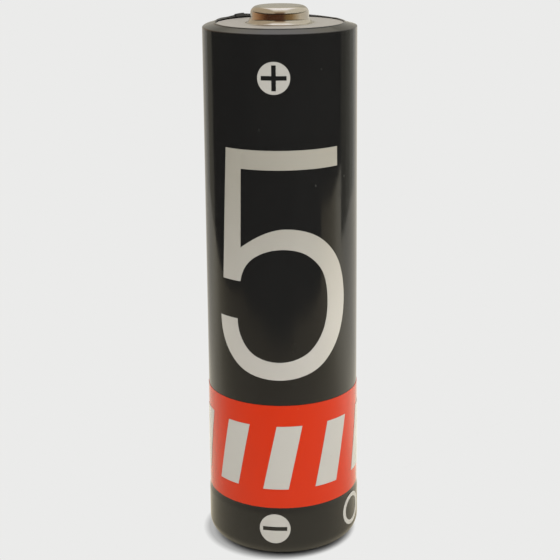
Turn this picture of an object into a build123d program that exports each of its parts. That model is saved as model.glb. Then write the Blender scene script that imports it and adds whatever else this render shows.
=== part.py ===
from build123d import *

import os
from math import cos, degrees, radians, sin, tan

# An AA (LR6) alkaline cell, millimetres.
# The cell stands on its negative contact: z = 0 is that contact's outer face, +Z points to the
# positive end, the Z axis is the cell's own axis, and the front of the printed label faces -Y.

# ---- driving dimensions -------------------------------------------------------------------------

OVERALL_HEIGHT = 50.50          # contact face to contact face
PLATE_HEIGHT = 48.95            # outer face of the plate round the positive pip
CAN_RADIUS = 6.90               # outside of the can body
MOUTH_RADIUS = 7.00             # outside of the can round the seal
WALL = 0.20                     # drawn and ironed can wall
PLATE = 0.25                    # thicker sheet left at the closed end

PIP_RADIUS = 2.65
PIP_EDGE = 0.70                 # bend radius at the pip's top
PIP_ROOT = 0.35                 # bend radius at the pip's foot
SHOULDER = 0.50                 # can's bend radius at the positive end

STEP_TOP = 4.98                 # the can opens out from its body to its mouth over this height
STEP_FOOT = 4.66

CRIMP_BEND = 0.95               # outer bend radius where the mouth is rolled over the seal
CRIMP_FACE = 0.35               # lowest face of the rolled mouth
CRIMP_LIP = 5.80                # inner radius of the rolled mouth

CAP_SHEET = 0.35
CAP_CONTACT = 4.75              # radius where the contact disc's wall starts
CAP_WALL_TOP = 5.15             # radius where that wall meets the flange
FLANGE_FACE = 0.95              # outer face of the cap's flange
CAP_BEND = 0.40
CAP_VENTS = 3
CAP_VENT_DIAMETER = 0.45
DRILL = 1.6                     # length of a drill, enough to go through any of the sheets

WASHER_SHEET = 0.50
WASHER_WEB = 2.55               # lower face of the washer's raised web
WASHER_CONE = (5.30, 4.10)      # radii at the foot and the top of the washer's cone
WASHER_HOLES = 4
WASHER_HOLE_DIAMETER = 1.10
WASHER_HOLE_CIRCLE = 2.90

HUB_RADIUS = 1.75
HUB_TOP = 4.85
SEAL_WALL = 0.30                # seal's outer wall, squeezed between can and flanges
SEAL_FOOT = 5.45                # inner radius of the seal's foot, between lip and cap
WEB_FLOOR = 3.45                # seal's web, from its lower face to its upper face
WEB_TOP = 3.90
BURST_GROOVE = (2.15, 2.65)     # radii of the groove that leaves the burst membrane
MEMBRANE = 0.18

NAIL_RADIUS = 0.65
NAIL_HEAD = (1.60, 0.50)        # radius and thickness
NAIL_TIP = 35.5
NAIL_POINT = 1.2                # length of the tapered tip
NAIL_BLUNT = 0.20               # radius left at the tip, and the head's broken edge

RING_BORE = 4.45
RING_COUNT = 3
RING_BOTTOM = 7.05              # lowest ring's free face
PAPER = 0.25                    # separator, two turns
GEL_LEVEL = 7.8

FILM = 0.10                     # label film
FILM_TOP_LIP = 5.77             # inner radius of the film folded over the plate
FILM_FOOT_LIP = 5.95            # inner radius of the film folded under the crimp
LAP_WIDTH = 1.15                # the film's ends lap over each other along the back
LAP_RISE = 0.07
LAP_LIFT = 0.20                 # the lapped fold stands off the plate by this much more
LAP_BEARING = 130.0             # degrees from +X towards +Y, in a gap of the band's bars

INK = 0.03                      # each printed field
BAND = (5.10, 15.05)            # height span of the coloured band
NUMERAL_BAR = (-5.27, 5.56, 36.80, 38.54)       # left, right, foot, top
NUMERAL_STEM = ((-5.27, 38.54), (-3.60, 38.54), (-3.83, 26.50), (-5.86, 26.50))
NUMERAL_BOWL = ((-5.50, 26.50), (-4.90, 28.40), (-3.00, 30.18), (0.05, 31.48), (3.00, 30.88),
                (5.45, 28.55), (6.52, 24.60), (5.60, 20.72), (3.55, 18.46), (0.00, 17.48),
                (-3.95, 18.46), (-5.80, 20.72), (-6.26, 22.96))
NUMERAL_COUNTER = ((-3.83, 26.50), (-3.05, 28.26), (-1.50, 29.33), (0.05, 29.64), (1.95, 29.26),
                   (3.70, 27.68), (4.42, 24.60), (3.75, 21.46), (2.45, 19.94), (0.00, 19.15),
                   (-2.85, 19.95), (-3.92, 21.46), (-4.20, 22.96))
MARK_RADIUS = 1.43              # polarity discs
MARK_STROKE = 0.40
MARK_SPAN = 2.25
PLUS_PLACE = (-0.50, 44.90)     # (arc length to the right of the front line, height)
MINUS_PLACE = (-0.76, 3.08)
BADGE_PLACE = (8.00, 3.20)
BADGE_RADIUS = 1.55
BAR_COUNT = 9
BAR_WIDTH = 2.35
BAR_SPAN = (6.95, 13.05)
BAR_LEAN = 1.30                 # how far a bar's top leans to the right of its foot


# ---- shared constructions -----------------------------------------------------------------------

def formed(corners: list, bends: list, flats: int = 2) -> list:
    """Corner points -> the same path with every bend as short flats whose ends lie on its arc."""
    path = [Vector(*corners[0])]
    for before, corner, after, radius in zip(corners, corners[1:], corners[2:], bends):
        corner = Vector(*corner)
        if radius == 0:
            path.append(corner)
            continue
        back = (Vector(*before) - corner).normalized()
        ahead = (Vector(*after) - corner).normalized()
        half = radians(back.get_angle(ahead)) / 2
        centre = corner + (back + ahead).normalized() * (radius / sin(half))
        start = corner + back * (radius / tan(half)) - centre
        sweep = (180 - 2 * degrees(half)) * (1 if back.cross(ahead).Z < 0 else -1)
        path += [centre + start.rotate(Axis.Z, sweep * i / flats) for i in range(flats + 1)]
    return path + [Vector(*corners[-1])]


def sheet(path: list, thickness: float, side: Side) -> Sketch:
    """Section of formed sheet: a path thickened to one side of its direction of travel."""
    return make_face(offset(Polyline(*path), amount=thickness, side=side, kind=Kind.INTERSECTION))


def turned(section: Sketch, arc: float = 360.0) -> Part:
    """Revolve a section drawn as (radius, height) about the cell's axis."""
    return revolve(Plane.XZ * section, Axis.Z, arc)


def ring(inner: float, outer: float, foot: float, top: float) -> Part:
    """A plain tube about the cell's axis, or a disc where its inner radius is nothing."""
    return turned(box_span(inner, outer, foot, top))


def box_span(left: float, right: float, foot: float, top: float) -> Sketch:
    """A rectangle given by its four sides."""
    return Pos((left + right) / 2, (foot + top) / 2) * Rectangle(right - left, top - foot)


def wrapped_wire(wire: Wire, radius: float, steps: int = 6) -> Wire:
    """Flat outline -> the same outline as seen from the front once it lies round the cylinder."""
    def seen(point: Vector) -> Vector:
        return Vector(radius * sin(point.X / radius), 0, point.Y)

    edges = []
    for edge in wire.edges():
        start, end = edge.position_at(0), edge.position_at(1)
        upright = edge.geom_type == GeomType.LINE and abs(start.X - end.X) < 1e-6
        level = edge.geom_type == GeomType.LINE and abs(start.Y - end.Y) < 1e-6
        if upright or level:
            edges.append(Edge.make_line(seen(start), seen(end)))
        else:
            count = steps if edge.geom_type == GeomType.LINE else max(2 * steps, round(edge.length))
            edges.append(Edge.make_spline([seen(edge.position_at(i / count)) for i in range(count + 1)]))
    return Wire(edges)


def printed(flat: Sketch, radius: float) -> Part:
    """Ink on the film: a flat shape (arc length, height) laid on the cylinder, INK thick."""
    span = flat.bounding_box()
    skin = ring(radius, radius + INK, span.min.Y - 1, span.max.Y + 1)
    ink = Part()
    for face in flat.faces():
        outline = Face(wrapped_wire(face.outer_wire(), radius),
                       [wrapped_wire(hole, radius) for hole in face.inner_wires()])
        ink += skin & extrude(outline, amount=radius + 1, dir=(0, -1, 0))
    return ink


# ---- can ----------------------------------------------------------------------------------------

def can_path() -> tuple:
    """Outside of the can from the pip's centre to the rolled lip: corners and bend radii."""
    corners = [(0, OVERALL_HEIGHT), (PIP_RADIUS, OVERALL_HEIGHT), (PIP_RADIUS, PLATE_HEIGHT),
               (CAN_RADIUS, PLATE_HEIGHT), (CAN_RADIUS, STEP_TOP), (MOUTH_RADIUS, STEP_FOOT),
               (MOUTH_RADIUS, CRIMP_FACE), (CRIMP_LIP, CRIMP_FACE)]
    return corners, [PIP_EDGE, PIP_ROOT, SHOULDER, 0, 0, CRIMP_BEND]


def steel_can() -> Part:
    """Nickel-plated steel can, pip drawn in its closed end, mouth rolled over the seal."""
    corners, bends = can_path()
    inside = PLATE_HEIGHT - PLATE
    inner = [(0, OVERALL_HEIGHT - PLATE), (PIP_RADIUS - PLATE, OVERALL_HEIGHT - PLATE),
             (PIP_RADIUS - PLATE, inside), (CAN_RADIUS - WALL, inside),
             (CAN_RADIUS - WALL, STEP_TOP), (MOUTH_RADIUS - WALL, STEP_FOOT),
             (MOUTH_RADIUS - WALL, CRIMP_FACE + WALL), (CRIMP_LIP, CRIMP_FACE + WALL)]
    inner_bends = [PIP_EDGE - PLATE, PIP_ROOT + PLATE, SHOULDER - PLATE, 0, 0, CRIMP_BEND - WALL]
    outline = formed(corners, bends) + formed(inner, inner_bends)[::-1]
    return turned(make_face(Polyline(*outline, close=True)))


# ---- cathode, separator and anode ---------------------------------------------------------------

def cathode_ring(index: int, can: Part) -> Part:
    """One manganese dioxide ring, counted from the closed end, pressed to the can's inside."""
    top = PLATE_HEIGHT - PLATE
    height = (top - RING_BOTTOM) / RING_COUNT
    foot = top - (index + 1) * height
    blank = ring(RING_BORE, CAN_RADIUS - WALL, foot, foot + height)
    return blank - can if index == 0 else blank


def separator() -> Part:
    """Paper tube between the cathode rings and the gel, closed at the positive end."""
    top = PLATE_HEIGHT - PLATE
    return ring(0, RING_BORE, WEB_TOP, top) - ring(0, RING_BORE - PAPER, WEB_TOP, top - PAPER)


def anode_gel() -> Part:
    """Zinc gel filling the separator, with the nail's place in it."""
    return ring(0, RING_BORE - PAPER, GEL_LEVEL, PLATE_HEIGHT - PLATE - PAPER) - collector_nail()


def collector_nail() -> Part:
    """Brass nail, its head on the cap and its shank up the middle of the gel."""
    head_radius, head_thickness = NAIL_HEAD
    head_top = CAP_SHEET + head_thickness
    return turned(make_face(Polyline(
        (0, CAP_SHEET), (head_radius - NAIL_BLUNT, CAP_SHEET),
        (head_radius, CAP_SHEET + NAIL_BLUNT), (head_radius, head_top), (NAIL_RADIUS, head_top),
        (NAIL_RADIUS, NAIL_TIP - NAIL_POINT), (NAIL_BLUNT, NAIL_TIP), (0, NAIL_TIP), close=True)))


# ---- closure ------------------------------------------------------------------------------------

def seal_bore() -> float:
    """Radius that the seal's outer wall leaves for the cap and the washer."""
    return MOUTH_RADIUS - WALL - SEAL_WALL


def negative_cap() -> Part:
    """Pressed negative contact: flat disc, short steep wall with vents, flange under the washer."""
    corners = [(0, 0), (CAP_CONTACT, 0), (CAP_WALL_TOP, FLANGE_FACE), (seal_bore(), FLANGE_FACE)]
    cap = turned(sheet(formed(corners, [CAP_BEND, 0]), CAP_SHEET, Side.LEFT))
    vent = Pos((CAP_CONTACT + CAP_WALL_TOP) / 2, 0, FLANGE_FACE / 2 + CAP_SHEET / 3)
    drill = vent * Rot(0, 90, 0) * Cylinder(CAP_VENT_DIAMETER / 2, DRILL)
    for turn in range(CAP_VENTS):
        cap -= Rot(0, 0, 360 / CAP_VENTS * (turn + 0.5)) * drill
    return cap


def support_washer() -> Part:
    """Dished steel washer that backs the seal, pierced so that gas can pass."""
    foot = FLANGE_FACE + CAP_SHEET
    cone_foot, cone_top = WASHER_CONE
    path = [(seal_bore(), foot), (cone_foot, foot), (cone_top, WASHER_WEB), (HUB_RADIUS, WASHER_WEB)]
    washer = turned(sheet(path, WASHER_SHEET, Side.RIGHT))
    for turn in range(WASHER_HOLES):
        bearing = radians(360 / WASHER_HOLES * turn)
        place = (WASHER_HOLE_CIRCLE * cos(bearing), WASHER_HOLE_CIRCLE * sin(bearing), WASHER_WEB)
        washer -= Pos(*place) * Cylinder(WASHER_HOLE_DIAMETER / 2, DRILL)
    return washer


def seal_grommet() -> Part:
    """Nylon seal: hub on the nail, web with its burst groove, wall and foot inside the crimp."""
    bore = seal_bore()
    outer = MOUTH_RADIUS - WALL
    foot = CRIMP_FACE + WALL
    head_top = CAP_SHEET + NAIL_HEAD[1]
    groove_in, groove_out = BURST_GROOVE
    wall_top = STEP_FOOT
    inside = [(bore, wall_top), (bore, WEB_TOP), (groove_out, WEB_TOP),
              (groove_out, WEB_FLOOR + MEMBRANE), (groove_in, WEB_FLOOR + MEMBRANE),
              (groove_in, WEB_TOP), (HUB_RADIUS, WEB_TOP), (HUB_RADIUS, HUB_TOP),
              (NAIL_RADIUS, HUB_TOP), (NAIL_RADIUS, head_top), (HUB_RADIUS, head_top),
              (HUB_RADIUS, WEB_FLOOR), (bore, WEB_FLOOR), (bore, FLANGE_FACE),
              (SEAL_FOOT, FLANGE_FACE), (SEAL_FOOT, foot)]
    outside = formed([(SEAL_FOOT, foot), (outer, foot), (outer, wall_top)], [CRIMP_BEND - WALL])
    return turned(make_face(Polyline(*inside, *outside[1:], close=True)))


# ---- label and print ----------------------------------------------------------------------------

def label_film() -> Part:
    """Shrunk film over the can, folded over both ends, with its lapped seam along the back."""
    corners, bends = can_path()
    path = [(FILM_TOP_LIP, PLATE_HEIGHT)] + corners[3:-1] + [(FILM_FOOT_LIP, CRIMP_FACE)]
    film = turned(sheet(formed(path, bends[2:]), FILM, Side.LEFT))
    return film + (lap_strip() - can_hull())


def lap_strip() -> Part:
    """Where the film's ends lap: a second thickness, lifted where it is folded over the top."""
    body = CAN_RADIUS + FILM + LAP_RISE
    mouth = MOUTH_RADIUS + FILM + LAP_RISE
    foot = CRIMP_FACE - FILM
    fold = CAN_RADIUS - SHOULDER
    corners = [(FILM_TOP_LIP, PLATE_HEIGHT), (FILM_TOP_LIP, PLATE_HEIGHT + FILM),
               (fold, PLATE_HEIGHT + FILM + LAP_LIFT), (body, PLATE_HEIGHT), (body, STEP_TOP),
               (mouth, STEP_FOOT), (mouth, foot), (MOUTH_RADIUS - CRIMP_BEND, foot)]
    outline = formed(corners, [0, SHOULDER, SHOULDER, 0, 0, CRIMP_BEND + FILM])
    inside = [(MOUTH_RADIUS - CRIMP_BEND, CRIMP_FACE + WALL), (fold, PLATE_HEIGHT - PLATE)]
    return sector(make_face(Polyline(*outline, *inside, close=True)), LAP_WIDTH)


def sector(section: Sketch, width: float) -> Part:
    """A section turned through the given width, measured round the film, at the lap."""
    arc = degrees(width / (CAN_RADIUS + FILM))
    return Rot(0, 0, LAP_BEARING - arc / 2) * turned(section, arc)


def can_hull() -> Part:
    """The can's outside as one solid body, for cutting what lies on it."""
    return turned(make_face(Polyline(*formed(*can_path()), (0, CRIMP_FACE), close=True)))


def size_numeral() -> Sketch:
    """The cell's size number, a plain 5: bar, stem and an open bowl between two curves."""
    stem = make_face(Polyline(*NUMERAL_STEM, close=True))
    outer, counter = Spline(*NUMERAL_BOWL), Spline(*NUMERAL_COUNTER)
    ends = Line(outer @ 0, counter @ 0) + Line(outer @ 1, counter @ 1)
    return box_span(*NUMERAL_BAR) + stem + make_face(outer + counter + ends)


def polarity_disc(place: tuple, crossed: bool) -> Sketch:
    """A disc with a plus or a minus left open in it."""
    sign = Rectangle(MARK_SPAN, MARK_STROKE)
    if crossed:
        sign += Rectangle(MARK_STROKE, MARK_SPAN)
    return Pos(*place) * (Circle(MARK_RADIUS) - sign)


def leaning_bar() -> Sketch:
    """One bar of the band's plain row, centred on the front line."""
    low, high = BAR_SPAN
    left = -(BAR_WIDTH + BAR_LEAN) / 2
    return make_face(Polyline((left, low), (left + BAR_WIDTH, low),
                              (left + BAR_LEAN + BAR_WIDTH, high), (left + BAR_LEAN, high), close=True))


def print_bars() -> Part:
    """The row of leaning bars all round the band, over its ink."""
    bar = printed(leaning_bar(), CAN_RADIUS + FILM + INK)
    return Part() + [Rot(0, 0, 360 / BAR_COUNT * turn) * bar for turn in range(BAR_COUNT)]


def print_band(film: Part) -> Part:
    """The coloured band round the cell and over the lap."""
    radius = CAN_RADIUS + FILM
    over_lap = sector(box_span(radius, radius + LAP_RISE + INK, *BAND), LAP_WIDTH + 2 * INK)
    return (ring(radius, radius + INK, *BAND) + over_lap) - film


def badge() -> Sketch:
    """A plain ring."""
    return Pos(*BADGE_PLACE) * (Circle(BADGE_RADIUS) - Circle(BADGE_RADIUS - MARK_STROKE))


# ---- build --------------------------------------------------------------------------------------

def build() -> dict:
    """Every piece of the cell by its node name."""
    on_body = CAN_RADIUS + FILM
    on_mouth = MOUTH_RADIUS + FILM
    can = steel_can()
    film = label_film()
    nodes = {
        "steel_can": can,
        "separator": separator(),
        "anode_gel": anode_gel(),
        "collector_nail": collector_nail(),
        "seal_grommet": seal_grommet(),
        "support_washer": support_washer(),
        "negative_cap": negative_cap(),
        "label_film": film,
        "print_band": print_band(film),
        "print_bars": print_bars(),
        "print_numeral": printed(size_numeral(), on_body),
        "print_plus_disc": printed(polarity_disc(PLUS_PLACE, True), on_body),
        "print_minus_disc": printed(polarity_disc(MINUS_PLACE, False), on_mouth),
        "print_badge": printed(badge(), on_mouth),
    }
    for index in range(RING_COUNT):
        nodes[f"cathode_ring_{index + 1}"] = cathode_ring(index, can)
    return nodes


os.makedirs("parts", exist_ok=True)
for name, part in build().items():
    part.label = name
    export_step(part, f"parts/{name}.step")
    print(name, round(part.volume, 2))
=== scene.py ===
"""Dressed model of an AA alkaline cell, standing on its negative end.

Every piece is modelled in millimetres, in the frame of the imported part, and scaled to metres when it
is finished. The film's print front faces -Y.
"""
import logging
import math
from collections.abc import Callable, Iterator
from contextlib import contextmanager
from dataclasses import dataclass, field
from enum import Enum
from itertools import pairwise

import bmesh
import bpy
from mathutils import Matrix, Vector


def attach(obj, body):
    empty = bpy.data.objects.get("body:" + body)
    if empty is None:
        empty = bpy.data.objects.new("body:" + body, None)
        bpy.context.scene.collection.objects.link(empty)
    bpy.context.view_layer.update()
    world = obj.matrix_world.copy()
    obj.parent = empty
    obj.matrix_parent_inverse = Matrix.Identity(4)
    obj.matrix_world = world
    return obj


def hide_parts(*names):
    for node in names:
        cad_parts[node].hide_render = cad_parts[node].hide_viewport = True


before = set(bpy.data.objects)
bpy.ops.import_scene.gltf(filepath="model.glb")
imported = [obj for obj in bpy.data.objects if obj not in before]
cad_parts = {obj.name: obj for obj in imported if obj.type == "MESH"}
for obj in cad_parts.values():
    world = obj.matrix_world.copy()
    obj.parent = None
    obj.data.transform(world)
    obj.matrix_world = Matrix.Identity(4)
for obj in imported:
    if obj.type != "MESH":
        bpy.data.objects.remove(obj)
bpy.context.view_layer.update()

log = logging.getLogger("cell")

Piece = bpy.types.Object
Material = bpy.types.Material
Socket = bpy.types.NodeSocket
Pair = tuple[float, float]
Triple = tuple[float, float, float]
Colour = tuple[float, float, float, float]
Stops = tuple[tuple[float, Colour], ...]
Outline = tuple[Pair, ...]

MM = 0.001
BODY = "root"
ORIGIN = (0.0, 0.0, 0.0)


class Pick(Enum):
    """What a selection in edit mode is made of."""

    VERT = "VERT"
    EDGE = "EDGE"
    FACE = "FACE"


class Filled(Enum):
    """Which end ring of a turned sheet is closed with a disc."""

    NONE = "none"
    FIRST = "first"
    LAST = "last"


class Cut(Enum):
    """How one solid changes another."""

    JOIN = "UNION"
    TAKE = "DIFFERENCE"


# ---- modelling ----------------------------------------------------------------------------------


class Bench:
    """The modelling operators, used one piece at a time."""

    @staticmethod
    def clear() -> None:
        """Leave nothing selected, in object mode."""
        active = bpy.context.view_layer.objects.active
        if active is not None and active.mode != "OBJECT":
            bpy.ops.object.mode_set(mode="OBJECT")
        bpy.ops.object.select_all(action="DESELECT")

    @staticmethod
    def hold(piece: Piece) -> None:
        """Select one piece alone and make it active.

        Args:
            piece: the piece to hold.
        """
        Bench.clear()
        piece.select_set(True)
        bpy.context.view_layer.objects.active = piece

    @staticmethod
    @contextmanager
    def editing(piece: Piece) -> Iterator[None]:
        """Edit mode on one piece, with everything in it selected.

        Args:
            piece: the piece to edit.

        Yields:
            Nothing: the operators act on the piece meanwhile.
        """
        Bench.hold(piece)
        bpy.ops.object.mode_set(mode="EDIT")
        bpy.ops.mesh.select_all(action="SELECT")
        yield
        bpy.ops.object.mode_set(mode="OBJECT")

    @staticmethod
    def pick(piece: Piece, kind: Pick, test: Callable[..., bool]) -> None:
        """Select parts of a piece in edit mode.

        Args:
            piece: the piece being edited.
            kind: whether vertices, edges or faces are picked.
            test: says of one of them whether it is picked.
        """
        bpy.ops.mesh.select_mode(type=kind.value)
        bpy.ops.mesh.select_all(action="DESELECT")
        mesh = bmesh.from_edit_mesh(piece.data)
        parts = {Pick.VERT: mesh.verts, Pick.EDGE: mesh.edges, Pick.FACE: mesh.faces}[kind]
        mesh.normal_update()
        for part in [part for part in parts if test(part)]:
            part.select_set(True)
        mesh.select_flush_mode()
        bmesh.update_edit_mesh(piece.data)

    @staticmethod
    def modify(piece: Piece, kind: str, **settings: object) -> None:
        """Add one modifier to a piece and apply it.

        Args:
            piece: the piece to change.
            kind: the modifier's type.
            settings: its properties.
        """
        Bench.hold(piece)
        modifier = piece.modifiers.new(kind.title(), kind)
        for name, value in settings.items():
            setattr(modifier, name, value)
        bpy.ops.object.modifier_apply(modifier=modifier.name)

    @staticmethod
    def settle(piece: Piece) -> None:
        """Put a piece's place, turn and size into its mesh."""
        Bench.hold(piece)
        bpy.ops.object.transform_apply(location=True, rotation=True, scale=True)

    @staticmethod
    def combine(piece: Piece, tool: Piece, cut: Cut) -> None:
        """Join a tool to a piece or take it away from the piece, and clear the tool off.

        Args:
            piece: the piece that stays.
            tool: the solid that is used up.
            cut: join or take.
        """
        Bench.modify(piece, "BOOLEAN", operation=cut.value, object=tool, solver="EXACT")
        bpy.data.objects.remove(tool)

    @staticmethod
    def merge(pieces: list[Piece], name: str) -> Piece:
        """Join pieces into one.

        Args:
            pieces: the pieces, the first of which stays.
            name: what it is called from here on.

        Returns:
            The joined piece.
        """
        Bench.clear()
        for piece in pieces:
            piece.select_set(True)
        bpy.context.view_layer.objects.active = pieces[0]
        bpy.ops.object.join()
        pieces[0].name = name
        return pieces[0]

    @staticmethod
    def finish(piece: Piece, finish: Material, slot: str, *nodes: str, crease: float = 35.0) -> None:
        """Bring a piece to metres, smooth it, dress it and hang it on the cell's body.

        Args:
            piece: the piece, modelled in millimetres.
            finish: its material.
            slot: the name of the slot that the finish belongs to; not used.
            nodes: the CAD nodes that the piece stands for.
            crease: the angle in degrees above which an edge stays sharp.
        """
        Bench.hold(piece)
        bpy.ops.transform.resize(value=(MM, MM, MM), center_override=ORIGIN)
        Bench.settle(piece)
        bpy.ops.object.shade_smooth_by_angle(angle=math.radians(crease))
        Bench.modify(piece, "WEIGHTED_NORMAL", keep_sharp=True)
        piece.data.materials.clear()
        piece.data.materials.append(finish)
        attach(piece, BODY)
        if nodes:
            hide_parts(*nodes)
        log.info("%s: %d faces", piece.name, len(piece.data.polygons))


def radius_at(point: Vector) -> float:
    """Distance of a point from the cell's axis."""
    return math.hypot(point.x, point.y)


def bearing_at(point: Vector) -> float:
    """Bearing of a point in degrees, from +X towards +Y, 0 to 360."""
    return math.degrees(math.atan2(point.y, point.x)) % 360.0


@dataclass(frozen=True)
class Station:
    """One corner of a turned profile, in millimetres."""

    radius: float
    height: float
    bend: float = 0.0
    flats: int = 8


@dataclass
class TurnedSheet:
    """Sheet turned about the cell's axis: a ring is drawn out from station to station, its corners
    are rounded and it is given its thickness. Its outer side is on the right of the way it goes."""

    name: str
    stations: tuple[Station, ...]
    thickness: float
    filled: Filled = Filled.NONE
    steps: int = 256

    def build(self) -> Piece:
        """Model the sheet.

        Returns:
            The piece, in millimetres.
        """
        piece = self.skin()
        if self.thickness > 0:
            Bench.modify(piece, "SOLIDIFY", thickness=self.thickness, offset=-1.0, use_even_offset=True)
        return piece

    def skin(self) -> Piece:
        """The outer surface alone, with its bends.

        Returns:
            The surface, in millimetres, its faces outwards.
        """
        first = self.stations[0]
        Bench.clear()
        fill = "NGON" if self.filled is Filled.FIRST else "NOTHING"
        bpy.ops.mesh.primitive_circle_add(
            vertices=self.steps, radius=first.radius, fill_type=fill, location=(0, 0, first.height)
        )
        piece = bpy.context.object
        piece.name = self.name
        Bench.settle(piece)
        with Bench.editing(piece):
            Bench.pick(piece, Pick.EDGE, lambda edge: True)
            for before, here in pairwise(self.stations):
                bpy.ops.mesh.extrude_edges_move(
                    TRANSFORM_OT_translate={"value": (0, 0, here.height - before.height)}
                )
                share = here.radius / before.radius
                bpy.ops.transform.resize(value=(share, share, 1), center_override=(0, 0, here.height))
            if self.filled is Filled.LAST:
                bpy.ops.mesh.edge_face_add()
            self._round(piece)
            self._face_out(piece)
        return piece

    def _round(self, piece: Piece) -> None:
        """Round each station's corner with its bend radius.

        Args:
            piece: the surface, in edit mode.
        """
        corners = [(0.0, self.stations[0].height)] if self.filled is Filled.FIRST else []
        corners += [(station.radius, station.height) for station in self.stations]
        corners += [(0.0, self.stations[-1].height)] if self.filled is Filled.LAST else []
        bent = self.stations if self.filled is Filled.FIRST else self.stations[1:]
        for before, here, after, station in zip(corners, corners[1:], corners[2:], bent):
            if station.bend == 0:
                continue
            turn = (Vector(here) - Vector(before)).angle(Vector(after) - Vector(here))
            Bench.pick(
                piece,
                Pick.EDGE,
                lambda edge: all(
                    abs(radius_at(v.co) - here[0]) < 1e-3 and abs(v.co.z - here[1]) < 1e-3 for v in edge.verts
                ),
            )
            bpy.ops.mesh.bevel(
                offset=station.bend * math.tan(turn / 2),
                segments=station.flats,
                affect="EDGES",
                clamp_overlap=False,
            )

    def _face_out(self, piece: Piece) -> None:
        """Turn the faces to the right-hand side of the way the profile goes.

        Args:
            piece: the surface, in edit mode.
        """
        bpy.ops.mesh.select_all(action="SELECT")
        bpy.ops.mesh.normals_make_consistent(inside=False)
        longest = max(pairwise(self.stations), key=lambda pair: abs(pair[1].height - pair[0].height))
        middle = (longest[0].height + longest[1].height) / 2
        outwards = 1 if longest[1].height > longest[0].height else -1
        mesh = bmesh.from_edit_mesh(piece.data)
        mesh.normal_update()
        wall = min(mesh.faces, key=lambda face: abs(face.calc_center_median().z - middle))
        centre = wall.calc_center_median()
        if wall.normal.dot(Vector((centre.x, centre.y, 0))) * outwards < 0:
            bpy.ops.mesh.flip_normals()


@dataclass
class FlatArt:
    """A printed shape, drawn flat as (arc length, height) and then laid round the film."""

    name: str
    radius: float
    ink: float = 0.03
    cutter: float = 1.0
    spacing: float = 0.17
    solid: Piece | None = field(default=None, repr=False)

    def _thicken(self, piece: Piece, deep: bool) -> None:
        """Raise a flat outline to the ink's thickness, or to a cutter well past both its faces.

        Args:
            piece: the outline, filled.
            deep: True for a cutter.
        """
        with Bench.editing(piece):
            depth = self.cutter if deep else self.ink
            bpy.ops.transform.translate(value=(0, 0, -depth / 2 if deep else 0.0))
            bpy.ops.mesh.extrude_region_move(TRANSFORM_OT_translate={"value": (0, 0, depth)})
            bpy.ops.mesh.select_all(action="SELECT")
            bpy.ops.mesh.normals_make_consistent(inside=False)

    def _add(self, piece: Piece, cut: Cut) -> None:
        """Join a solid to what is drawn so far, or take it away.

        Args:
            piece: the solid.
            cut: join or take.
        """
        if self.solid is None:
            self.solid = piece
            piece.name = self.name
        else:
            Bench.combine(self.solid, piece, cut)

    def disc(self, centre: Pair, radius: float, cut: Cut = Cut.JOIN, sides: int = 96) -> None:
        """A round shape.

        Args:
            centre: its middle.
            radius: its radius.
            cut: join or take.
            sides: how many edges its outline has.
        """
        Bench.clear()
        bpy.ops.mesh.primitive_circle_add(vertices=sides, radius=1.0, fill_type="NGON")
        piece = bpy.context.object
        with Bench.editing(piece):
            bpy.ops.transform.resize(value=(radius, radius, 1), center_override=ORIGIN)
            bpy.ops.transform.translate(value=(*centre, 0))
        self._thicken(piece, cut is Cut.TAKE)
        self._add(piece, cut)

    def outline(self, points: Outline, cut: Cut = Cut.JOIN) -> None:
        """A shape with any outline.

        Args:
            points: the outline, one way round.
            cut: join or take.
        """
        Bench.clear()
        bpy.ops.mesh.primitive_circle_add(vertices=len(points), radius=1.0, fill_type="NGON")
        piece = bpy.context.object
        with Bench.editing(piece):
            for index, (x, y) in enumerate(points):
                Bench.pick(piece, Pick.VERT, lambda v: v.index == index)
                start = piece.data.vertices[index].co
                bpy.ops.transform.translate(value=(x - start.x, y - start.y, 0))
        self._thicken(piece, cut is Cut.TAKE)
        self._add(piece, cut)

    def lay(self) -> Piece:
        """Stand the drawing up and bend it round the film.

        Returns:
            The piece, in millimetres.
        """
        piece = self.solid
        with Bench.editing(piece):
            xs = [vert.co.x for vert in piece.data.vertices]
            low, high = min(xs), max(xs)
            count = max(2, math.ceil((high - low) / self.spacing))
            for index in range(1, count):
                bpy.ops.mesh.select_all(action="SELECT")
                place = low + (high - low) * index / count
                bpy.ops.mesh.bisect(plane_co=(place, 0, 0), plane_no=(1, 0, 0))
        Bench.hold(piece)
        piece.rotation_euler = (math.radians(90), 0, 0)
        Bench.settle(piece)
        Bench.modify(
            piece,
            "SIMPLE_DEFORM",
            deform_method="BEND",
            deform_axis="Z",
            angle=(high - low) / self.radius,
        )
        piece.location = (0, -self.radius, 0)
        Bench.settle(piece)
        return piece


def rectangle(centre: Pair, half: Pair) -> Outline:
    """The corners of an upright rectangle, from its middle and its half width and half height."""
    (x, y), (across, up) = centre, half
    return ((x - across, y - up), (x + across, y - up), (x + across, y + up), (x - across, y + up))


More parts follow.
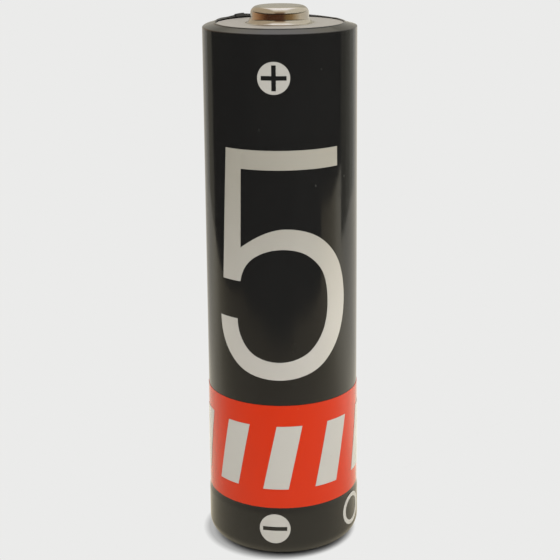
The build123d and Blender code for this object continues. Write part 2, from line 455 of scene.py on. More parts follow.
def curve_through(knots: Outline, steps: int = 7) -> Outline:
    """A smooth curve through a few knots.

    Args:
        knots: the points that it passes.
        steps: how many straight pieces lie between two knots.

    Returns:
        Its points, both ends included.
    """
    plane = [Vector(knot) for knot in knots]
    spans = [(end - start).length for start, end in pairwise(plane)]
    slopes = [(end - start) / span for (start, end), span in zip(pairwise(plane), spans)]
    inner = [
        (slope * next_span + next_slope * span) / (span + next_span)
        for (slope, next_slope), (span, next_span) in zip(pairwise(slopes), pairwise(spans))
    ]
    tangents = [2 * slopes[0] - inner[0], *inner, 2 * slopes[-1] - inner[-1]]
    points = [knots[0]]
    for (start, end), span, leave, arrive in zip(pairwise(plane), spans, tangents, tangents[1:]):
        for index in range(1, steps + 1):
            t = index / steps
            point = (
                start * (2 * t**3 - 3 * t**2 + 1)
                + leave * (span * (t**3 - 2 * t**2 + t))
                + end * (3 * t**2 - 2 * t**3)
                + arrive * (span * (t**3 - t**2))
            )
            points.append((point.x, point.y))
    return tuple(points)


# ---- finishes -----------------------------------------------------------------------------------


class Nodes:
    """A node tree, and short ways to add to it."""

    def __init__(self, tree: bpy.types.NodeTree) -> None:
        """Work on one tree.

        Args:
            tree: the node tree.
        """
        self.tree = tree

    def add(self, kind: str, settings: dict | None = None, **inputs: object) -> bpy.types.Node:
        """Add a node.

        Args:
            kind: the node's type.
            settings: its properties.
            inputs: for each named input, a socket to link or a value to set.

        Returns:
            The node.
        """
        node = self.tree.nodes.new(kind)
        for name, value in (settings or {}).items():
            setattr(node, name, value)
        for name, value in inputs.items():
            self.feed(node.inputs[name.replace("_", " ")], value)
        return node

    def feed(self, socket: Socket, value: object) -> None:
        """Link a socket or set its value.

        Args:
            socket: the input.
            value: the output to link to it, or its value.
        """
        if isinstance(value, Socket):
            self.tree.links.new(value, socket)
        else:
            socket.default_value = value

    def range(self, value: Socket, source: Pair, target: Pair) -> Socket:
        """A value taken from one range to another, and held at its ends.

        Args:
            value: the value.
            source: the two values that it comes from.
            target: what they become.

        Returns:
            The new value.
        """
        node = self.add("ShaderNodeMapRange", Value=value)
        for name, number in zip(("From Min", "From Max", "To Min", "To Max"), (*source, *target)):
            node.inputs[name].default_value = number
        return node.outputs["Result"]

    def math(self, operation: str, *values: object) -> Socket:
        """One arithmetic step.

        Args:
            operation: its name.
            values: what it works on.

        Returns:
            The result.
        """
        node = self.add("ShaderNodeMath", {"operation": operation})
        for socket, value in zip(node.inputs, values):
            self.feed(socket, value)
        return node.outputs["Value"]

    def blend(self, share: object, low: object, high: object) -> Socket:
        """Two colours mixed by a share.

        Args:
            share: how much of the second shows, 0 to 1.
            low: the first colour.
            high: the second colour.

        Returns:
            The colour between them.
        """
        node = self.add("ShaderNodeMix", {"data_type": "RGBA"})
        self.feed(node.inputs[0], share)
        self.feed(node.inputs[6], low)
        self.feed(node.inputs[7], high)
        return node.outputs[2]

    def ramp(self, value: Socket, stops: Stops) -> Socket:
        """Colours along a value, blended from stop to stop.

        Args:
            value: what runs along the ramp.
            stops: each stop's place and colour, in rising order.

        Returns:
            The colour.
        """
        low, high = stops[0][0], stops[-1][0]
        node = self.add("ShaderNodeValToRGB", Fac=self.range(value, (low, high), (0.0, 1.0)))
        elements = node.color_ramp.elements
        elements[0].color, elements[1].color = stops[0][1], stops[-1][1]
        for place, colour in stops[1:-1]:
            elements.new((place - low) / (high - low)).color = colour
        return node.outputs["Color"]


class Recipe(Nodes):
    """A material's nodes, with its patterns laid out in millimetres."""

    def __init__(self, name: str) -> None:
        """Start a material.

        Args:
            name: the material's name.
        """
        self.material = bpy.data.materials.new(name)
        self.material.use_nodes = True
        super().__init__(self.material.node_tree)
        self.shader = next(node for node in self.tree.nodes if node.type == "BSDF_PRINCIPLED")
        self.output = next(node for node in self.tree.nodes if node.type == "OUTPUT_MATERIAL")
        place = self.tree.nodes.new("ShaderNodeTexCoord")
        scale = self.add("ShaderNodeMapping", Vector=place.outputs["Object"], Scale=(1 / MM,) * 3)
        self.point = scale.outputs["Vector"]
        self.parts = self.add("ShaderNodeSeparateXYZ", Vector=self.point).outputs

    def noise(self, scale: float, detail: float = 3.0, stretch: Triple = (1.0, 1.0, 1.0)) -> Socket:
        """Noise with a given number of waves to the millimetre, more or fewer along each axis."""
        vector = self.add("ShaderNodeMapping", Vector=self.point, Scale=stretch).outputs["Vector"]
        return self.add("ShaderNodeTexNoise", Vector=vector, Scale=scale, Detail=detail).outputs["Fac"]

    def radius(self, centre: Pair = (0.0, 0.0)) -> Socket:
        """Distance from an upright line, in millimetres.

        Args:
            centre: where the line stands; the cell's axis unless given.

        Returns:
            The distance.
        """
        across = self.add("ShaderNodeCombineXYZ", X=self.parts["X"], Y=self.parts["Y"])
        settings = {"operation": "DISTANCE"}
        node = self.add("ShaderNodeVectorMath", settings, Vector=across.outputs["Vector"])
        node.inputs[1].default_value = (*centre, 0.0)
        return node.outputs["Value"]

    def bump(self, height: Socket, depth: float, strength: float = 1.0) -> None:
        """Relief on the surface, of a depth in millimetres."""
        node = self.add("ShaderNodeBump", Height=height, Distance=depth * MM, Strength=strength)
        self.feed(self.shader.inputs["Normal"], node.outputs["Normal"])

    def set(self, **inputs: object) -> None:
        """Set or link the shader's own inputs."""
        for name, value in inputs.items():
            self.feed(self.shader.inputs[name.replace("_", " ")], value)


def paint(red: float, green: float, blue: float) -> Colour:
    """A colour with full cover."""
    return (red, green, blue, 1.0)


@dataclass(frozen=True)
class PrintedFilm:
    """Glossy shrink film: its colour, with the film's faint ripple, handling haze and dust. Between the
    heights given as silver its ink has metal flake in it, and carries painted shade: a lighter tone low down
    turns to a darker tone higher up."""

    name: str
    colour: Colour
    haze: Colour
    gloss: float = 0.09
    index: float = 1.50
    ripple: float = 0.012
    dust: float = 1.0
    silver: Pair | None = None
    # painted shade: the heights over which the silver ink turns from its lit tone to its darker, shaded tone
    silver_shade_span: Pair = (22.0, 36.0)
    silver_lit_and_shaded_tones: tuple[Colour, Colour] = (paint(0.63, 0.613, 0.575), paint(0.525, 0.50, 0.43))
    silver_metal: float = 0.3
    silver_haze: float = 0.28

    def material(self) -> Material:
        """Mix the finish.

        Returns:
            The material.
        """
        recipe = Recipe(self.name)
        cloud = recipe.range(recipe.noise(0.22, 4.0, (1, 1, 0.35)), (0.35, 0.75), (0.0, 0.03))
        rough = recipe.range(recipe.noise(1.6, 5.0), (0.3, 0.7), (self.gloss - 0.03, self.gloss + 0.05))
        tone = recipe.blend(cloud, self.colour, self.haze)
        if self.silver is not None:
            height = recipe.parts["Z"]
            above = recipe.math("GREATER_THAN", height, self.silver[0])
            flake = recipe.math("MULTIPLY", above, recipe.math("LESS_THAN", height, self.silver[1]))
            # painted shade: the silver ink is painted lighter at the bottom and darker at the top
            turn = recipe.range(height, self.silver_shade_span, (0.0, 1.0))
            tone = recipe.blend(flake, tone, recipe.blend(turn, *self.silver_lit_and_shaded_tones))
            rough = recipe.math("ADD", rough, recipe.math("MULTIPLY", flake, self.silver_haze))
            recipe.set(Metallic=recipe.math("MULTIPLY", flake, self.silver_metal))
        specks = recipe.add("ShaderNodeTexVoronoi", Vector=recipe.point, Scale=0.42, Randomness=1.0)
        speck = recipe.range(specks.outputs["Distance"], (0.030, 0.055), (0.45 * self.dust, 0.0))
        recipe.set(Base_Color=recipe.blend(speck, tone, self.haze), Roughness=rough, IOR=self.index)
        fine = recipe.math("MULTIPLY", recipe.noise(5.0, 2.0), 0.05)
        recipe.bump(recipe.math("ADD", recipe.noise(0.45, 2.0, (1, 1, 0.25)), fine), self.ripple)
        return recipe.material


@dataclass(frozen=True)
class PlatedSteel:
    """Nickel-plated pressed steel, matt and finely ringed on its flats, brighter where it is drawn."""

    name: str
    flat_colour: Colour
    drawn_colour: Colour
    flat_roughness: float
    drawn_roughness: float
    drawn_radius: float
    flat_metal: float = 0.75
    worn_colour: Colour = paint(0.44, 0.41, 0.36)

    def material(self) -> Material:
        """Mix the finish.

        Returns:
            The material.
        """
        recipe = Recipe(self.name)
        radius = recipe.radius()
        rings = recipe.add(
            "ShaderNodeTexNoise", {"noise_dimensions": "1D"}, W=radius, Scale=9.0, Detail=5.0
        ).outputs["Fac"]
        grain = recipe.noise(7.0, 5.0)
        flat = recipe.range(radius, (self.drawn_radius, self.drawn_radius + 0.35), (0.0, 1.0))
        base = recipe.range(flat, (0.0, 1.0), (self.drawn_roughness, self.flat_roughness))
        rough = recipe.math("ADD", base, recipe.range(grain, (0.3, 0.7), (-0.03, 0.05)))
        tone = recipe.blend(
            recipe.range(grain, (0.35, 0.7), (0.0, 0.35)),
            recipe.blend(flat, self.drawn_colour, self.flat_colour),
            self.worn_colour,
        )
        metal = recipe.range(flat, (0.0, 1.0), (1.0, self.flat_metal))
        recipe.set(Base_Color=tone, Metallic=metal, Roughness=rough)
        relief = recipe.math("ADD", recipe.math("MULTIPLY", rings, 0.5), grain)
        recipe.bump(recipe.math("MULTIPLY", relief, recipe.range(flat, (0, 1), (0.15, 1.0))), 0.004)
        return recipe.material


@dataclass(frozen=True)
class PlainStuff:
    """A matt material with its own grain: nylon, paper, powder mix or drawn wire."""

    name: str
    colour: Colour
    fleck: Colour
    grain: float
    roughness: float
    relief: float
    metallic: float = 0.0
    stretch: Triple = (1.0, 1.0, 1.0)

    def material(self) -> Material:
        """Mix the finish.

        Returns:
            The material.
        """
        recipe = Recipe(self.name)
        grain = recipe.noise(self.grain, 5.0, self.stretch)
        recipe.set(
            Base_Color=recipe.blend(recipe.range(grain, (0.35, 0.7), (0.0, 1.0)), self.colour, self.fleck),
            Metallic=self.metallic,
            Roughness=recipe.range(grain, (0.3, 0.7), (self.roughness - 0.05, self.roughness + 0.05)),
        )
        recipe.bump(grain, self.relief)
        return recipe.material


# ---- the cell -----------------------------------------------------------------------------------


@dataclass
class SteelCan:
    """The can: pip, plate, wall, and the mouth rolled over the seal."""

    wall: float = 0.20
    stations: tuple[Station, ...] = (
        Station(5.70, 0.35),
        Station(7.00, 0.35, 1.28),
        Station(7.00, 4.50),
        Station(6.90, 5.04),
        Station(6.90, 48.95, 1.40, 12),
        Station(2.65, 48.95, 0.60, 12),
        Station(2.65, 50.50, 0.70, 16),
    )

    def build(self, steel: Material) -> None:
        """Model and dress the can.

        Args:
            steel: the plated steel.
        """
        can = TurnedSheet("can_with_pip", self.stations, self.wall, Filled.LAST).build()
        Bench.finish(can, steel, "nickel_steel", "steel_can")


@dataclass
class NegativeContact:
    """The pressed contact disc under the seal, with the vents in its wall."""

    sheet: float = 0.35
    flange: float = 0.95
    vents: int = 3
    vent_radius: float = 0.225
    vent_ring: float = 4.95
    stations: tuple[Station, ...] = (
        Station(4.75, 0.00, 0.40),
        Station(5.15, 0.95, 0.20, 5),
        Station(6.50, 0.95),
    )

    def build(self, steel: Material) -> None:
        """Model and dress the contact.

        Args:
            steel: the plated steel.
        """
        cap = TurnedSheet("negative_contact", self.stations, self.sheet, Filled.FIRST).build()
        height = self.flange / 2 + self.sheet / 3
        for index in range(self.vents):
            bearing = math.radians(360 / self.vents * (index + 0.5))
            Bench.clear()
            bpy.ops.mesh.primitive_cylinder_add(
                vertices=32,
                radius=self.vent_radius,
                depth=4 * self.sheet,
                location=(self.vent_ring * math.cos(bearing), self.vent_ring * math.sin(bearing), height),
                rotation=(0, math.radians(90), bearing),
            )
            drill = bpy.context.object
            Bench.settle(drill)
            Bench.combine(cap, drill, Cut.TAKE)
        Bench.finish(cap, steel, "nickel_steel", "negative_cap")


@dataclass(frozen=True)
class Swell:
    """A pull on the folded lip at one bearing and radius, fading out over its reach."""

    bearing: float
    radius: float
    pull: Triple
    reach: float

    def middle(self, height: float) -> Vector:
        """The point that is pulled most, at a given height."""
        turn = math.radians(self.bearing)
        return Vector((self.radius * math.cos(turn), self.radius * math.sin(turn), height))


@dataclass
class CellFilm:
    """The shrunk film over the can, folded over both ends, with its lapped seam along the back."""

    thickness: float = 0.10
    lap_bearing: float = 130.0
    lap_half_angle: float = 4.7
    lap_rise: float = 0.07
    stations: tuple[Station, ...] = (
        Station(5.78, 0.25),
        Station(7.10, 0.25, 1.30, 14),
        Station(7.10, 4.50, 1.4, 5),
        Station(7.00, 5.04, 1.4, 5),
        Station(7.00, 48.68, 0.09, 4),
        Station(6.00, 48.95, 0.04, 3),
        Station(5.93, 49.04, 0.03, 3),
        Station(5.80, 49.04),
    )
    swells: tuple[Swell, ...] = (
        Swell(90.0, 6.05, (0.0, 0.0, 0.15), 6.5),
        Swell(128.0, 6.05, (0.0, 0.0, 0.20), 2.2),
        Swell(155.0, 6.3, (0.0, 0.0, 0.13), 3.0),
        Swell(28.0, 5.55, (0.0, 0.05, 0.02), 0.8),
        Swell(78.0, 5.55, (-0.02, 0.06, 0.02), 0.9),
        Swell(205.0, 5.55, (0.05, 0.0, 0.015), 1.1),
        Swell(262.0, 5.55, (0.0, -0.05, 0.015), 1.2),
        Swell(318.0, 5.55, (0.04, -0.03, 0.02), 1.0),
    )

    def build(self, black: Material) -> None:
        """Model and dress the film and its lap.

        Args:
            black: the printed film.
        """
        film = TurnedSheet("label_film_smooth", self.stations, 0.0).skin()
        self._pucker(film)
        lap = self._lap(film)
        Bench.modify(film, "SOLIDIFY", thickness=self.thickness, offset=-1.0, use_even_offset=True)
        Bench.finish(film, black, "label_black", "label_film", crease=50.0)
        Bench.finish(lap, black, "label_black", crease=50.0)

    def _pucker(self, film: Piece) -> None:
        """Leave the folded lip as heat shrinks it: a little uneven, and swollen where it is lapped.

        Args:
            film: the film's outer surface.
        """
        lip = self.stations[-1]
        with Bench.editing(film):
            for swell in self.swells:
                spot = swell.middle(lip.height)
                near = min((v.co - spot).length for v in bmesh.from_edit_mesh(film.data).verts)
                Bench.pick(film, Pick.VERT, lambda v: (v.co - spot).length < near + 0.01)
                bpy.ops.transform.translate(
                    value=swell.pull,
                    use_proportional_edit=True,
                    proportional_edit_falloff="SMOOTH",
                    proportional_size=swell.reach,
                )
            Bench.pick(
                film, Pick.VERT, lambda v: radius_at(v.co) < lip.radius + 0.05 and v.co.z > lip.height - 1
            )
            bpy.ops.transform.resize(value=(1, 1, 0), center_override=(0, 0, lip.height))

    def _lap(self, film: Piece) -> Piece:
        """The second thickness of film where its ends lap.

        Args:
            film: the film's outer surface.

        Returns:
            The lapped strip.
        """
        low, high = self.lap_bearing - self.lap_half_angle, self.lap_bearing + self.lap_half_angle
        with Bench.editing(film):
            Bench.pick(film, Pick.FACE, lambda face: low < bearing_at(face.calc_center_median()) < high)
            bpy.ops.mesh.duplicate()
            bpy.ops.mesh.separate(type="SELECTED")
        lap = next(piece for piece in bpy.context.selected_objects if piece is not film)
        lap.name = "label_lap"
        Bench.modify(lap, "SOLIDIFY", thickness=self.lap_rise, offset=1.0, use_even_offset=True)
        return lap


@dataclass
class PrintedFields:
    """What is printed on the film: band, leaning bars, numeral, polarity discs and the plain ring."""

    ink: float = 0.03
    body_radius: float = 7.00
    mouth_radius: float = 7.10
    band: Pair = (5.10, 15.05)
    lap_bearing: float = 130.0
    lap_half_angle: float = 4.9
    lap_rise: float = 0.07
    bars: int = 9
    bar_width: float = 2.35
    bar_span: Pair = (6.95, 13.05)
    bar_lean: float = 1.30
    disc_radius: float = 1.43
    sign_width: float = 2.25
    sign_stroke: float = 0.40
    plus_place: Pair = (-0.50, 44.90)
    minus_place: Pair = (-0.76, 3.08)
    ring_place: Pair = (8.0, 3.2)
    ring_radius: float = 1.55
    ring_hole: float = 1.15
    stem: Outline = ((-5.86, 26.50), (-3.83, 26.50), (-3.60, 38.50), (-5.27, 38.50))
    flag: Outline = ((-5.27, 36.80), (5.56, 36.80), (5.56, 38.54), (-5.27, 38.54))
    bowl: Outline = (
        (-5.50, 26.50), (-4.90, 28.40), (-3.00, 30.18), (0.05, 31.48), (3.00, 30.88), (5.45, 28.55),
        (6.52, 24.60), (5.60, 20.72), (3.55, 18.46), (0.00, 17.48), (-3.95, 18.46), (-5.80, 20.72),
        (-6.26, 22.96),
    )
    counter: Outline = (
        (-3.83, 26.50), (-3.05, 28.26), (-1.50, 29.33), (0.05, 29.64), (1.95, 29.26), (3.70, 27.68),
        (4.42, 24.60), (3.75, 21.46), (2.45, 19.94), (0.00, 19.15), (-2.85, 19.95), (-3.92, 21.46),
        (-4.20, 22.96),
    )

    def build(self, red: Material, grey: Material) -> None:
        """Model and dress every printed field.

        Args:
            red: the band's ink.
            grey: the light ink of everything else.
        """
        self._band(red)
        self._bars(grey)
        self._numeral(grey)
        self._disc("plus_disc", "print_plus_disc", self.body_radius, self.plus_place, True, grey)
        self._disc("minus_disc", "print_minus_disc", self.mouth_radius, self.minus_place, False, grey)
        self._ring(grey)

    def _band(self, red: Material) -> None:
        """The coloured band, raised where it passes over the film's lap.

        Args:
            red: the ink.
        """
        outer = self.body_radius + self.ink
        foot, top = self.band
        stations = (Station(outer, foot), Station(outer, top))
        band = TurnedSheet("colour_band", stations, self.ink).build()
        with Bench.editing(band):
            Bench.pick(
                band, Pick.VERT, lambda v: abs(bearing_at(v.co) - self.lap_bearing) < self.lap_half_angle
            )
            share = (outer + self.lap_rise) / outer
            bpy.ops.transform.resize(value=(share, share, 1), center_override=ORIGIN)
        Bench.finish(band, red, "ink_red", "print_band")

    def _bars(self, grey: Material) -> None:
        """One leaning bar, and its copies round the band.

        Args:
            grey: the ink.
        """
        foot, top = self.bar_span
        left = -(self.bar_width + self.bar_lean) / 2
        right = left + self.bar_width
        art = FlatArt("leaning_bars", self.body_radius + self.ink, self.ink)
        art.outline(((left, foot), (right, foot), (right + self.bar_lean, top), (left + self.bar_lean, top)))
        first = art.lay()
        row = [first]
        for index in range(1, self.bars):
            Bench.hold(first)
            bpy.ops.object.duplicate()
            copy = bpy.context.object
            copy.rotation_euler = (0, 0, math.tau / self.bars * index)
            Bench.settle(copy)
            row.append(copy)
        Bench.finish(Bench.merge(row, "leaning_bars"), grey, "ink_grey", "print_bars")

    def _numeral(self, grey: Material) -> None:
        """The numeral: bar, stem and an open bowl between two curves.

        Args:
            grey: the ink.
        """
        art = FlatArt("size_numeral", self.body_radius, self.ink)
        art.outline(curve_through(self.bowl) + curve_through(self.counter)[::-1])
        art.outline(self.stem)
        art.outline(self.flag)
        Bench.finish(art.lay(), grey, "ink_grey", "print_numeral")

    def _disc(
        self,
        name: str,
        node: str,
        radius: float,
        place: Pair,
        crossed: bool,
        grey: Material,
    ) -> None:
        """A polarity disc with its sign left open.

        Args:
            name: the piece's name.
            node: the CAD node that it stands for.
            radius: the film's radius there.
            place: the disc's middle, as arc length and height.
            crossed: True for a plus, False for a minus.
            grey: the ink.
        """
        long, short = self.sign_width / 2, self.sign_stroke / 2
        art = FlatArt(name, radius, self.ink)
        art.disc(place, self.disc_radius)
        art.outline(rectangle(place, (long, short)), Cut.TAKE)
        if crossed:
            art.outline(rectangle(place, (short, long)), Cut.TAKE)
        Bench.finish(art.lay(), grey, "ink_grey", node)

    def _ring(self, grey: Material) -> None:
        """The plain ring at the right of the mouth.

        Args:
            grey: the ink.
        """
        art = FlatArt("plain_ring", self.mouth_radius, self.ink)
        art.disc(self.ring_place, self.ring_radius)
        art.disc(self.ring_place, self.ring_hole, Cut.TAKE)
        Bench.finish(art.lay(), grey, "ink_grey", "print_badge")


@dataclass
class CarriedNodes:
    """The pieces inside the can, kept as they are modelled and given their own finishes."""

    finishes: dict[PlainStuff, tuple[str, ...]]

    def build(self) -> None:
        """Dress each node."""
        for finish, nodes in self.finishes.items():
            material = finish.material()
            for node in nodes:
                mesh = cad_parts[node].data
                mesh.materials.clear()
                mesh.materials.append(material)


# ---- the studio ---------------------------------------------------------------------------------


@dataclass(frozen=True)
class Card:
    """An upright card, from one (bearing, distance) to another, bearings from the front to the right."""

    start: Pair
    end: Pair
    colour: Colour
    foot: float = 0.0
    top: float = 88.0


DARK = paint(0.02, 0.016, 0.012)


@dataclass
class Studio:
    """Pale floor, soft light, dark cards round the front for the cell to mirror, and the camera."""

    pale: Colour = paint(0.831, 0.831, 0.823)
    fill: float = 0.55
    aim: Triple = (0.0, 0.0, 25.0)
    cards: tuple[Card, ...] = (
        Card((-143, 150), (-134, 150), paint(0.52, 0.50, 0.45)),
        Card((-134, 150), (-117, 118), paint(0.30, 0.28, 0.22)),
        Card((-117, 118), (-60, 90), DARK),
        Card((-60, 90), (0, 88), DARK),
        Card((0, 88), (60, 90), DARK),
        Card((60, 90), (100, 115), DARK, foot=13.0),
        Card((100, 115), (112, 125), paint(0.19, 0.18, 0.14)),
        Card((112, 125), (124, 140), paint(0.30, 0.29, 0.24)),
        Card((124, 140), (136, 150), paint(0.46, 0.45, 0.39)),
        Card((136, 150), (145, 150), paint(0.66, 0.65, 0.60)),
    )
    # painted reflection: the floor's glow as the cell mirrors it, with painted shade that makes it near black
    # in front and brightest just behind the cell
    mirrored_floor: Stops = (
        (-76.0, paint(0.008, 0.008, 0.006)),
        (-68.0, paint(0.10, 0.085, 0.05)),
        (-60.0, paint(0.33, 0.27, 0.17)),
        (-50.0, paint(0.38, 0.32, 0.21)),
        (-35.0, paint(0.45, 0.38, 0.26)),
        (-15.0, paint(0.60, 0.53, 0.37)),
        (0.0, paint(0.78, 0.70, 0.52)),
        (12.0, paint(1.02, 0.94, 0.74)),
        (26.0, paint(1.05, 0.98, 0.80)),
        (50.0, paint(0.82, 0.78, 0.68)),
        (90.0, paint(0.74, 0.70, 0.61)),
    )
    mirrored_sky: Stops = (
        (0.0, paint(0.50, 0.47, 0.40)),
        (20.0, paint(0.50, 0.47, 0.40)),
        (28.0, paint(0.44, 0.41, 0.33)),
        (37.0, paint(0.88, 0.81, 0.66)),
        (60.0, paint(1.45, 1.42, 1.52)),
        (88.0, paint(1.43, 1.40, 1.50)),
        (104.0, paint(0.98, 0.90, 0.80)),
        (120.0, paint(0.78, 0.67, 0.55)),
        (136.0, paint(0.38, 0.27, 0.18)),
        (152.0, paint(0.16, 0.078, 0.048)),
        (180.0, paint(0.09, 0.04, 0.025)),
    )
    mirrored_sides: tuple[tuple[float, float, Colour], ...] = (
        (-0.24, -0.36, paint(0.60, 0.50, 0.38)),
        (0.27, 0.39, paint(0.84, 0.79, 0.70)),
    )
    mirrored_room: Stops = (
        (-130.0, paint(0.66, 0.50, 0.38)),
        (-105.0, paint(0.58, 0.36, 0.21)),
        (-87.0, paint(0.46, 0.24, 0.12)),
        (-72.0, paint(0.31, 0.145, 0.062)),
        (-58.0, paint(0.165, 0.068, 0.028)),
        (-45.0, paint(0.090, 0.032, 0.014)),
        (12.0, paint(0.105, 0.042, 0.022)),
        (24.0, paint(0.23, 0.14, 0.062)),
        (45.0, paint(0.35, 0.22, 0.10)),
        (65.0, paint(0.58, 0.46, 0.32)),
        (80.0, paint(0.76, 0.68, 0.57)),
        (140.0, paint(0.70, 0.67, 0.62)),
    )
    # painted contact shadow near the foot, from ambient occlusion: first as the cell mirrors the floor, then
    # as the camera sees it
    mirrored_contact: tuple[float, Pair] = (2.5, (0.12, 0.60))
    shown_contact: tuple[float, Pair] = (2.2, (0.12, 0.46))
    # painted shadow: a soft ring of shade round the foot, off-centre, in the floor's glow as the camera sees
    # it
    shade_centre: Pair = (-0.45, 0.15)
    shade_ring: Pair = (6.75, 7.4)
    shade_levels: Pair = (0.55, 1.0)
    room_radius: float = 16.0
    room_span: Pair = (47.9, 53.0)
    room_gap: Pair = (50.0, 140.0)
    camera_place: Triple = (1.235, -123.69, 62.234)
    camera_pitch: float = 11.94
    camera_roll: float = -0.0066
    lens: float = 88.24
    shift: Pair = (-0.02555, -0.21071)

    def build(self) -> None:
        """Set up everything that isn't the cell."""
        self._floor()
        self._world()
        for index, card in enumerate(self.cards):
            self._card(f"card_{index + 1}", card)
        self._room()
        self._lamp("overhead_softbox", (40, -20, 400), (420, 360), 2.0)
        self._lamp("low_fill", (45, -60, 4), (70, 40), 0.012)
        self._camera()

    def _floor(self) -> None:
        """A wide pale floor: lit as it is for light that bounces off it; to the camera an even pale glow but
        for a painted shadow at the foot; and where the cell mirrors it, a painted reflection, dimmer in front
        and darker near the foot."""
        Bench.clear()
        bpy.ops.mesh.primitive_plane_add(size=4.0)
        floor = bpy.context.object
        floor.name = "floor"
        recipe = Recipe("pale_floor")
        recipe.set(Base_Color=paint(0.80, 0.79, 0.77), Roughness=1.0, Specular_IOR_Level=0.0)
        across, ahead = recipe.parts["X"], recipe.parts["Y"]
        left = recipe.range(across, (-120.0, -40.0), (-44.0, 0.0))
        right = recipe.range(across, (10.0, 60.0), (0.0, 10.0))
        along = recipe.math("ADD", ahead, recipe.math("ADD", left, right))
        # painted reflection: the mirrored floor glows brighter towards the right
        lean = recipe.range(across, (-50.0, 60.0), (0.85, 1.18))
        # painted shade: the mirrored floor is darkened near the foot
        mirrored = recipe.math("MULTIPLY", lean, self._painted_contact_shadow(recipe, *self.mirrored_contact))
        # painted shadow: a ring of shade round the foot and a contact shadow, darkening the floor's glow to
        # the camera
        painted_ring_shadow = recipe.range(recipe.radius(self.shade_centre), self.shade_ring, self.shade_levels)
        shown = recipe.math("MULTIPLY", painted_ring_shadow, self._painted_contact_shadow(recipe, *self.shown_contact))
        rays = recipe.add("ShaderNodeLightPath").outputs
        # painted reflection: glossy rays see the floor glow along the ramp instead of its plain pale tone
        tone = recipe.blend(rays["Is Glossy Ray"], self.pale, recipe.ramp(along, self.mirrored_floor))
        level = recipe.blend(rays["Is Glossy Ray"], shown, mirrored)
        glow = recipe.add("ShaderNodeEmission", Color=tone, Strength=level)
        plain = recipe.math("SUBTRACT", 1.0, recipe.math("ADD", rays["Is Camera Ray"], rays["Is Glossy Ray"]))
        surface = self._either(recipe, plain, glow.outputs[0], recipe.shader.outputs[0])
        recipe.feed(recipe.output.inputs["Surface"], surface)
        floor.data.materials.append(recipe.material)

    @staticmethod
    def _painted_contact_shadow(recipe: Recipe, reach: float, held: Pair) -> Socket:
        """How much of the floor's glow is left near the foot: a painted contact shadow, drawn from ambient
        occlusion.

        Args:
            recipe: the floor's material.
            reach: how far off the foot still shades the floor, in millimetres.
            held: the openness at which the floor is quite dark, and that at which it is plain.

        Returns:
            The share of the tone, 0 to 1.
        """
        near = recipe.add("ShaderNodeAmbientOcclusion", Distance=reach * MM)
        return recipe.range(near.outputs["AO"], held, (0.0, 1.0))

    def _world(self) -> None:
        """Even and pale to the camera, from the back over the top to the front in reflections, and softer
        as a light."""
        world = bpy.data.worlds.new("studio")
        bpy.context.scene.world = world
        world.use_nodes = True
        world.node_tree.nodes.clear()
        nodes = Nodes(world.node_tree)
        way = nodes.add("ShaderNodeTexCoord").outputs["Generated"]
        parts = nodes.add("ShaderNodeSeparateXYZ", Vector=way).outputs
        over = nodes.math("DEGREES", nodes.math("ARCTAN2", parts["Z"], parts["Y"]))
        rays = nodes.add("ShaderNodeLightPath").outputs
        shown = nodes.add("ShaderNodeBackground", Color=self.pale).outputs[0]
        sky = nodes.ramp(over, self.mirrored_sky)
        for start, end, side in self.mirrored_sides:
            sky = nodes.blend(nodes.range(parts["X"], (start, end), (0.0, 1.0)), sky, side)
        glossy = nodes.add("ShaderNodeBackground", Color=sky).outputs[0]
        light = nodes.add("ShaderNodeBackground", Color=paint(1.0, 0.99, 0.96), Strength=self.fill).outputs[0]
        unseen = self._either(nodes, rays["Is Glossy Ray"], light, glossy)
        shade = self._either(nodes, rays["Is Camera Ray"], unseen, shown)
        nodes.add("ShaderNodeOutputWorld", Surface=shade)

    @staticmethod
    def _either(nodes: Nodes, share: Socket, plain: Socket, other: Socket) -> Socket:
        """One shader, or the other where the share is 1.

        Args:
            nodes: the tree.
            share: the share.
            plain: the shader where it is 0.
            other: the shader where it is 1.

        Returns:
            The mixed shader.
        """
        mix = nodes.add("ShaderNodeMixShader", Fac=share)
        nodes.feed(mix.inputs[1], plain)
        nodes.feed(mix.inputs[2], other)
        return mix.outputs[0]

    def _room(self) -> None:
        """The room as the pip's side mirrors it: a low ring about the cell's top, open at the back."""
        foot, top = self.room_span
        Bench.clear()
        bpy.ops.mesh.primitive_cylinder_add(
            vertices=120,
            radius=self.room_radius,
            depth=top - foot,
            end_fill_type="NOTHING",
            location=(0, 0, (foot + top) / 2),
        )
        ring = bpy.context.object
        ring.name = "room_ring"
        Bench.settle(ring)
        low, high = self.room_gap
        with Bench.editing(ring):
            Bench.pick(ring, Pick.FACE, lambda face: low < bearing_at(face.calc_center_median()) < high)
            bpy.ops.mesh.delete(type="FACE")
            bpy.ops.mesh.select_all(action="SELECT")
            bpy.ops.transform.resize(value=(MM, MM, MM), center_override=ORIGIN)
        recipe = Recipe("room_ring")
        forward = recipe.math("MULTIPLY", recipe.parts["Y"], -1.0)
        bearing = recipe.math("DEGREES", recipe.math("ARCTAN2", recipe.parts["X"], forward))
        self._unseen(ring, recipe, recipe.ramp(bearing, self.mirrored_room))

    @staticmethod
    def _unseen(panel: Piece, recipe: Recipe, colour: object) -> None:
        """Give a panel its glow and show it in reflections alone.

        Args:
            panel: the panel.
            recipe: its material.
            colour: the colour that it glows in, or the socket that gives it.
        """
        glow = recipe.add("ShaderNodeEmission", Color=colour)
        recipe.feed(recipe.output.inputs["Surface"], glow.outputs[0])
        panel.data.materials.append(recipe.material)
        for ray in ("visible_camera", "visible_diffuse", "visible_shadow", "visible_transmission"):
            setattr(panel, ray, False)

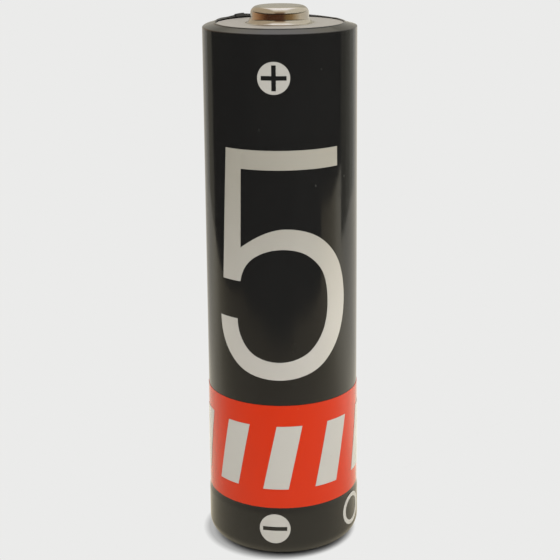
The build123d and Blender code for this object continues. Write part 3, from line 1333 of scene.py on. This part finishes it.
    def _card(self, name: str, card: Card) -> None:
        """One upright card, seen only in reflections.

        Args:
            name: the card's name.
            card: where it stands and how bright it shows.
        """
        start, end = (
            Vector((math.sin(math.radians(bearing)), -math.cos(math.radians(bearing)), 0)) * distance
            for bearing, distance in (card.start, card.end)
        )
        along = end - start
        middle = (start + end) / 2 + Vector((0, 0, (card.foot + card.top) / 2))
        Bench.clear()
        bpy.ops.mesh.primitive_plane_add(size=1, location=middle * MM, rotation=(math.radians(90), 0, 0))
        panel = bpy.context.object
        panel.name = name
        panel.scale = (along.length * MM, (card.top - card.foot) * MM, 1)
        panel.rotation_euler.z = math.atan2(along.y, along.x)
        self._unseen(panel, Recipe(name), card.colour)

    def _lamp(self, name: str, place: Triple, size: Pair, power: float) -> None:
        """One soft lamp turned to the middle of the cell.

        Args:
            name: the lamp's name.
            place: where it hangs, in millimetres.
            size: its width and height.
            power: its power in watts.
        """
        data = bpy.data.lights.new(name, "AREA")
        data.shape = "RECTANGLE"
        data.size, data.size_y = size[0] * MM, size[1] * MM
        data.energy = power
        lamp = bpy.data.objects.new(name, data)
        lamp.visible_glossy = False
        bpy.context.scene.collection.objects.link(lamp)
        lamp.location = Vector(place) * MM
        aim = Vector(self.aim) * MM - lamp.location
        lamp.rotation_euler = aim.to_track_quat("-Z", "Y").to_euler()

    def _camera(self) -> None:
        """The camera, a little above the cell's top and tilted down."""
        data = bpy.data.cameras.new("camera")
        data.lens = self.lens
        data.sensor_width = 36.0
        data.shift_x, data.shift_y = self.shift
        data.clip_start = 0.005
        camera = bpy.data.objects.new("camera", data)
        bpy.context.scene.collection.objects.link(camera)
        camera.location = Vector(self.camera_place) * MM
        camera.rotation_mode = "XYZ"
        camera.rotation_euler = (math.radians(90 - self.camera_pitch), 0, 0)
        camera.rotation_euler.rotate_axis("Z", self.camera_roll)
        bpy.context.scene.camera = camera
        bpy.context.scene.view_settings.view_transform = "Standard"


# ---- assembly -----------------------------------------------------------------------------------

NYLON = PlainStuff(
    "moulded_nylon", paint(0.62, 0.60, 0.53), paint(0.55, 0.53, 0.46), grain=2.5, roughness=0.45, relief=0.004
)
WASHER_STEEL = PlainStuff(
    "washer_steel",
    paint(0.60, 0.58, 0.54),
    paint(0.45, 0.43, 0.40),
    grain=6.0,
    roughness=0.32,
    relief=0.003,
    metallic=1.0,
)
BRASS = PlainStuff(
    "drawn_brass",
    paint(0.75, 0.55, 0.25),
    paint(0.66, 0.46, 0.19),
    grain=8.0,
    roughness=0.25,
    relief=0.002,
    metallic=1.0,
    stretch=(1.0, 1.0, 0.05),
)
PRESSED_MIX = PlainStuff(
    "pressed_mix", paint(0.022, 0.022, 0.024), paint(0.07, 0.07, 0.075), grain=9.0, roughness=0.8, relief=0.03
)
ZINC_PASTE = PlainStuff(
    "zinc_paste", paint(0.20, 0.21, 0.23), paint(0.42, 0.43, 0.45), grain=7.0, roughness=0.55, relief=0.030
)
PAPER = PlainStuff(
    "nonwoven_paper", paint(0.78, 0.76, 0.70), paint(0.66, 0.64, 0.58), grain=5.0, roughness=0.9, relief=0.02
)
INSIDE = {
    NYLON: ("seal_grommet",),
    WASHER_STEEL: ("support_washer",),
    BRASS: ("collector_nail",),
    PRESSED_MIX: ("cathode_ring_1", "cathode_ring_2", "cathode_ring_3"),
    ZINC_PASTE: ("anode_gel",),
    PAPER: ("separator",),
}


def main() -> None:
    """Build the cell and the studio, in order."""
    logging.basicConfig(level=logging.INFO, format="%(name)s %(message)s")
    steel = PlatedSteel(
        "nickel_plate", paint(0.455, 0.442, 0.415), paint(0.56, 0.53, 0.46), 0.50, 0.15, 3.0
    ).material()
    black = PrintedFilm("black_film", paint(0.0120, 0.0120, 0.0118), paint(0.10, 0.10, 0.09)).material()
    red = PrintedFilm("red_ink", paint(0.60, 0.023, 0.0005), paint(0.58, 0.07, 0.02)).material()
    grey = PrintedFilm(
        "grey_ink", paint(0.51, 0.495, 0.455), paint(0.42, 0.41, 0.37), dust=0.4, silver=(16.0, 40.0)
    ).material()
    SteelCan().build(steel)
    NegativeContact().build(steel)
    CellFilm().build(black)
    PrintedFields().build(red, grey)
    CarriedNodes(INSIDE).build()
    Studio().build()


if __name__ == "__main__":
    main()
